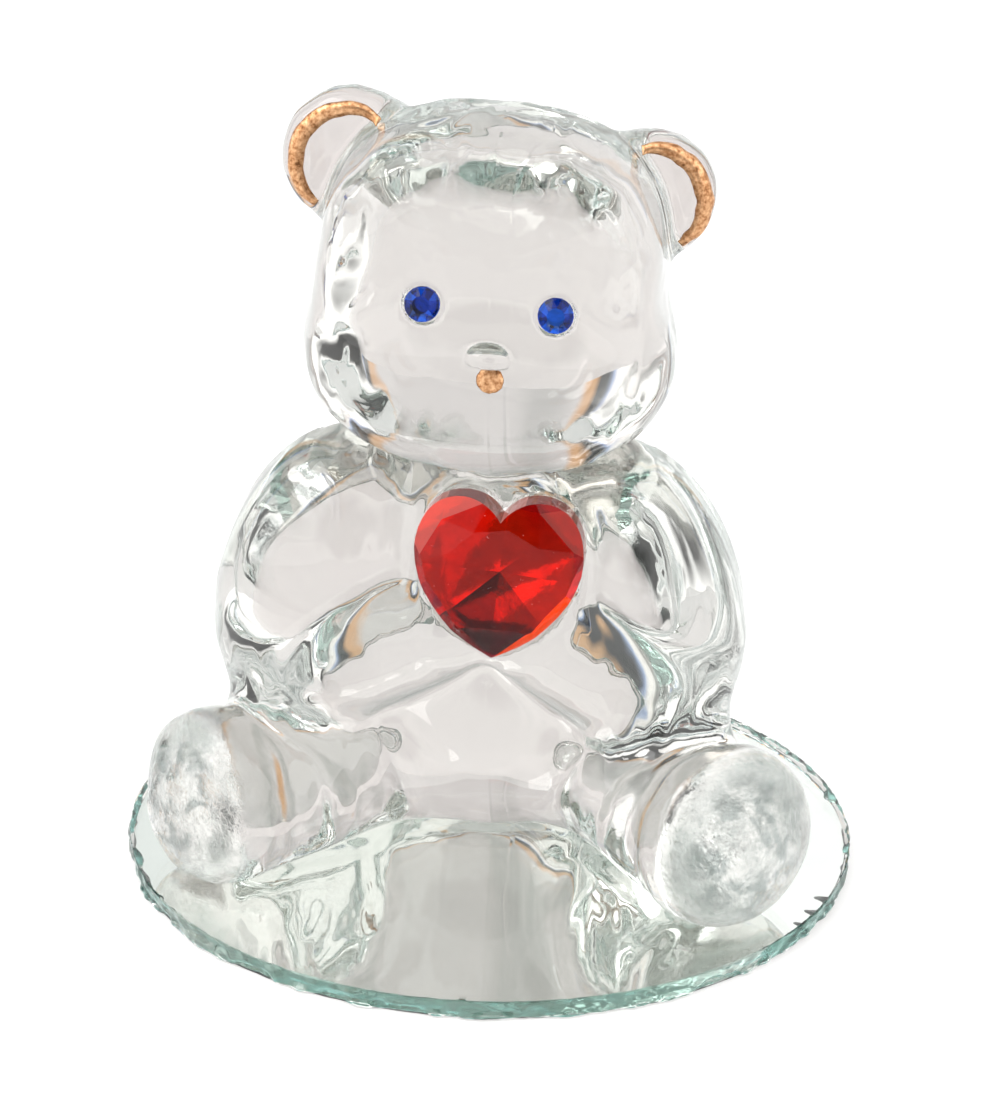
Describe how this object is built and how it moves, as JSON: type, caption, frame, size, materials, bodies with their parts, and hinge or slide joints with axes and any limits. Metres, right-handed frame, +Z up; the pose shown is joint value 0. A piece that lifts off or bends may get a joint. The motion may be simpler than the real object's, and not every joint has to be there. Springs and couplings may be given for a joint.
{
  "type": "crystal glass figurine",
  "caption": "Pressed clear-glass sitting teddy bear on a round mirror base, with a faceted red heart jewel, faceted blue eyes and gold lustre on the ears and nose.",
  "frame": {"origin": "centre of the mirror base's underside", "axes": "+Z up through the bear's head, -Y the way the bear faces, +X the bear's own left"},
  "size_m": [0.06, 0.06, 0.0634],
  "materials": {
    "clear_glass": "clear fire-polished pressed glass, gloss",
    "clear_adhesive": "clear cured adhesive, gloss",
    "mirror_glass": "flat clear glass with a faint green edge, gloss",
    "silvering": "mirror silvering",
    "backing_paint": "satin grey protective paint",
    "red_jewel": "cut and polished, foil backed",
    "blue_jewel": "cut and polished, foil backed",
    "jewel_foil": "thin metallic foil",
    "gold_lustre": "brushed-on metallic gold lustre, slightly mottled"
  },
  "bodies": {
    "root": {"bear_body": "clear_glass", "base_adhesive": "clear_adhesive", "mirror_glass": "mirror_glass", "mirror_silvering": "silvering", "mirror_backing_paint": "backing_paint", "heart_jewel": "red_jewel", "heart_foil": "jewel_foil", "heart_glue": "clear_adhesive", "eye_jewel_left": "blue_jewel", "eye_jewel_right": "blue_jewel", "eye_foil_left": "jewel_foil", "eye_foil_right": "jewel_foil", "eye_glue_left": "clear_adhesive", "eye_glue_right": "clear_adhesive", "ear_gold_left": "gold_lustre", "ear_gold_right": "gold_lustre", "nose_gold": "gold_lustre"}
  },
  "joints": []
}
